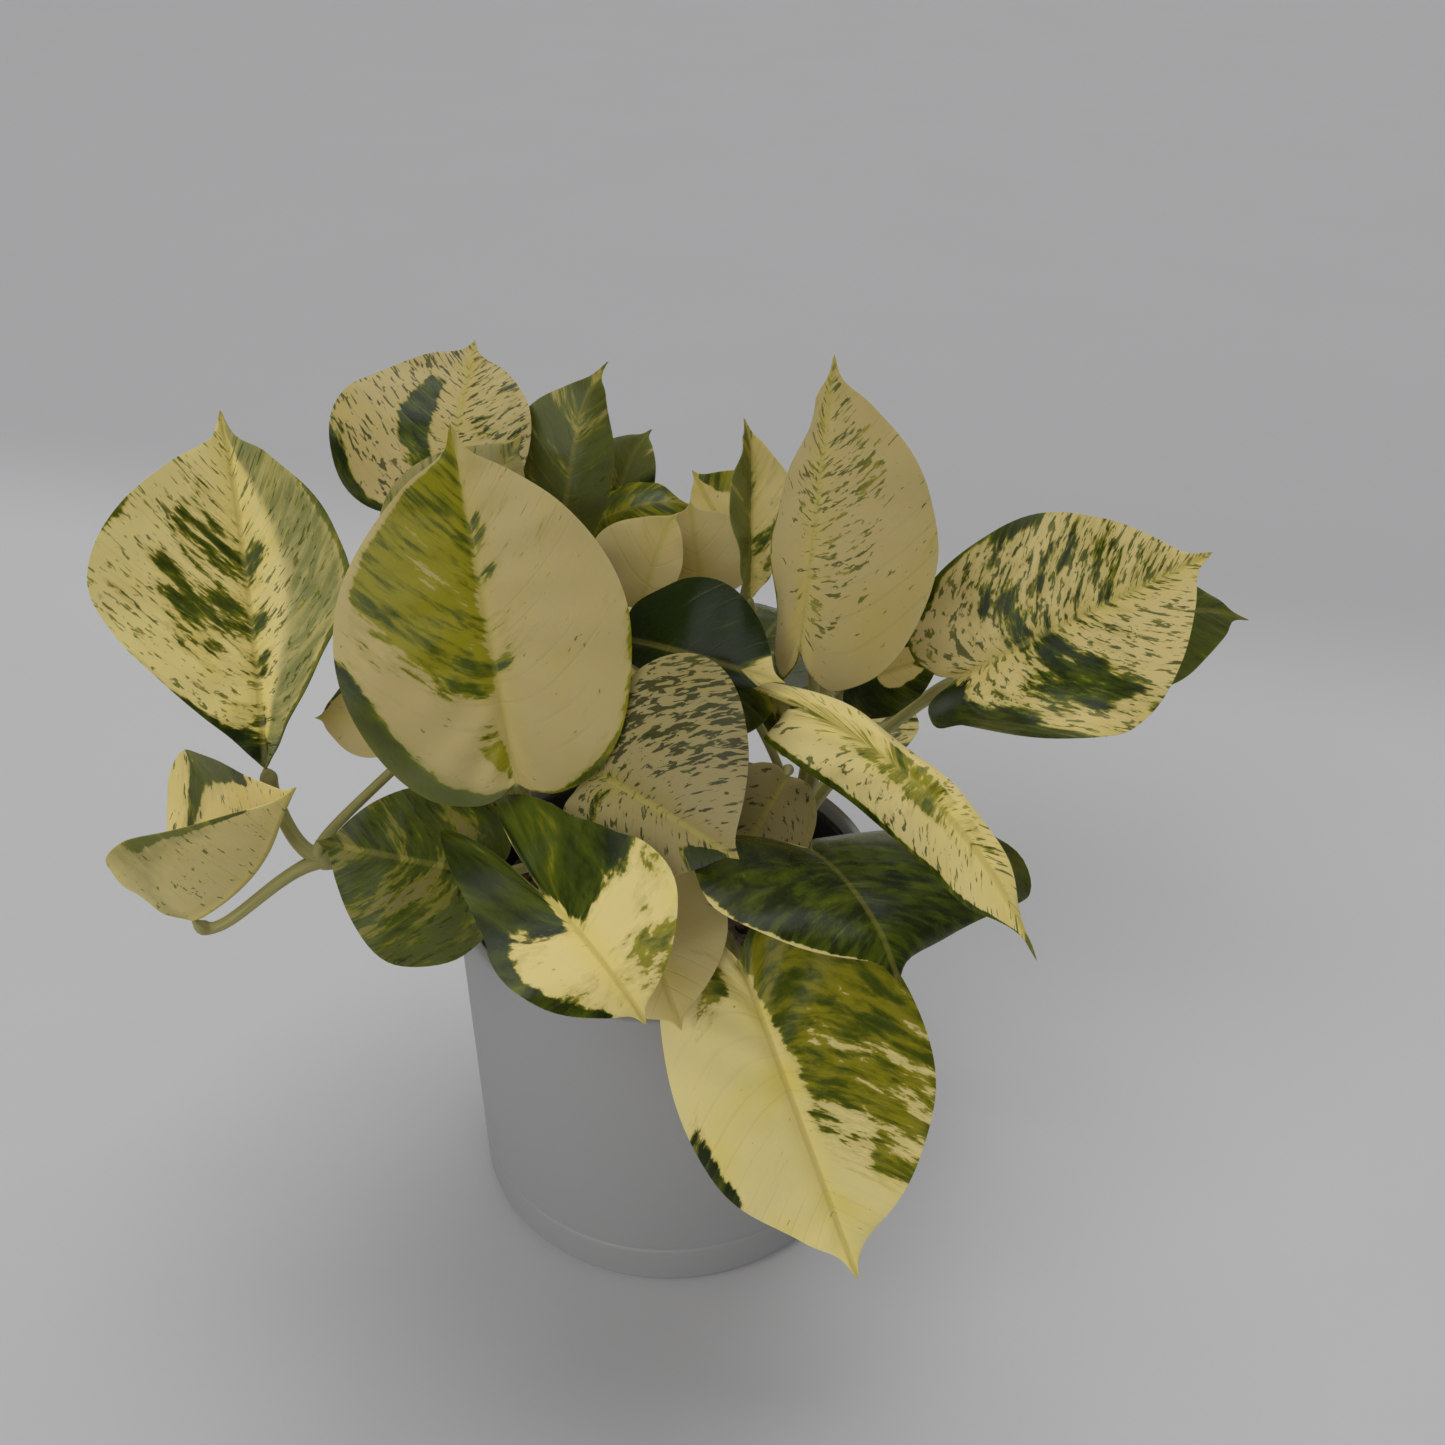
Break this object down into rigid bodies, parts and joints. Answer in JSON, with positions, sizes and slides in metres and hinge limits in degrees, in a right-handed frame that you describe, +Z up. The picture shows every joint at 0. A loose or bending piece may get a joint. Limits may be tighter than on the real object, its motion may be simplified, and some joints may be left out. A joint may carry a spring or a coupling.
{
  "type": "potted plant",
  "caption": "Potted variegated pothos with pointed cream and green leaves in a round white cover pot.",
  "frame": {"origin": "centre of the underside of the cover pot's base", "axes": "+Z up, front of the plant towards -Y, trailing vine towards -X"},
  "size_m": [0.2945, 0.2022, 0.257],
  "materials": {
    "pot_white": "matte",
    "liner_black": "satin",
    "mix": "rough",
    "stem": "satin",
    "leaf": "satin"
  },
  "bodies": {
    "root": {"cover_pot": "pot_white", "nursery_pot": "liner_black", "potting_mix": "mix", "vine_trailing": "stem", "vine_left": "stem", "vine_front": "stem", "vine_back": "stem", "vine_centre": "stem", "vine_right": "stem", "leaf_01": "leaf", "leaf_02": "leaf", "leaf_03": "leaf", "leaf_04": "leaf", "leaf_05": "leaf", "leaf_06": "leaf", "leaf_07": "leaf", "leaf_08": "leaf", "leaf_09": "leaf", "leaf_10": "leaf", "leaf_11": "leaf", "leaf_12": "leaf", "leaf_13": "leaf", "leaf_14": "leaf", "leaf_15": "leaf", "leaf_16": "leaf", "leaf_17": "leaf", "leaf_18": "leaf", "leaf_19": "leaf", "leaf_20": "leaf", "leaf_21": "leaf", "leaf_23": "leaf", "leaf_24": "leaf", "leaf_25": "leaf", "leaf_26": "leaf", "leaf_27": "leaf", "leaf_28": "leaf", "leaf_29": "leaf", "leaf_31": "leaf", "leaf_32": "leaf", "leaf_33": "leaf", "leaf_34": "leaf"}
  },
  "joints": []
}
